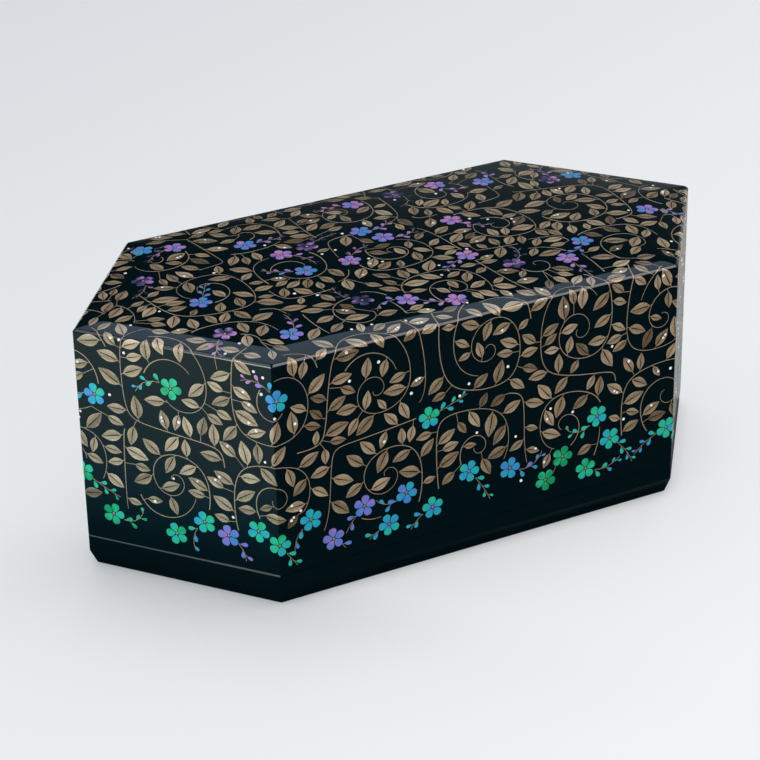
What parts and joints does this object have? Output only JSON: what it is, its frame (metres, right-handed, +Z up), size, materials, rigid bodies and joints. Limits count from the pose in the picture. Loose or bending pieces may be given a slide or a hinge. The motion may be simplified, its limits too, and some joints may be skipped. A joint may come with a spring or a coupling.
{
  "type": "tea ceremony box",
  "caption": "Long hexagonal lacquered box for tea utensils, with a gently domed lift-off lid that slides over inner walls on a low plinth, and a lift-out tray.",
  "frame": {"origin": "middle of the underside, on the surface that the box stands on", "axes": "+X along the length towards the right-hand tip, +Y towards the back long side, +Z up"},
  "size_m": [0.3354, 0.16, 0.1251],
  "materials": {
    "black_lacquer": "polished black lacquer on wood",
    "inner_lacquer": "black lacquer with scattered gold powder on wood",
    "rim_lacquer": "gold-dusted lacquer on wood",
    "spline_wood": "bare planed softwood",
    "gold_powder": "burnished gold powder set in lacquer",
    "shell_inlay": "polished iridescent shell",
    "pearl_dots": "white shell dots"
  },
  "bodies": {
    "base": {"base_floor_panel": "inner_lacquer", "plinth_front": "black_lacquer", "plinth_front_right": "black_lacquer", "plinth_back_right": "black_lacquer", "plinth_back": "black_lacquer", "plinth_back_left": "black_lacquer", "plinth_front_left": "black_lacquer", "plinth_corner_splines": "spline_wood", "inner_wall_front": "inner_lacquer", "inner_wall_front_right": "inner_lacquer", "inner_wall_back_right": "inner_lacquer", "inner_wall_back": "inner_lacquer", "inner_wall_back_left": "inner_lacquer", "inner_wall_front_left": "inner_lacquer", "inner_wall_corner_splines": "spline_wood"},
    "lid": {"lid_top_panel": "black_lacquer", "lid_wall_front": "black_lacquer", "lid_wall_front_right": "black_lacquer", "lid_wall_back_right": "black_lacquer", "lid_wall_back": "black_lacquer", "lid_wall_back_left": "black_lacquer", "lid_wall_front_left": "black_lacquer", "lid_corner_splines": "spline_wood"},
    "tray": {"tray_floor": "inner_lacquer", "tray_wall_front": "inner_lacquer", "tray_wall_front_right": "inner_lacquer", "tray_wall_back_right": "inner_lacquer", "tray_wall_back": "inner_lacquer", "tray_wall_back_left": "inner_lacquer", "tray_wall_front_left": "inner_lacquer", "tray_corner_splines": "spline_wood", "tray_rim_front": "rim_lacquer", "tray_rim_front_right": "rim_lacquer", "tray_rim_back_right": "rim_lacquer", "tray_rim_back": "rim_lacquer", "tray_rim_back_left": "rim_lacquer", "tray_rim_front_left": "rim_lacquer"}
  },
  "joints": [
    {"name": "lid_lift", "type": "slide", "parent": "base", "child": "lid", "axis": [0, 0, 1], "range_m": [0, 0.2]},
    {"name": "tray_lift", "type": "slide", "parent": "base", "child": "tray", "axis": [0, 0, 1], "range_m": [0, 0.08]}
  ],
  "couplings": [
    {"joint": "tray_lift", "follows": "lid_lift", "ratio": 0.4}
  ]
}
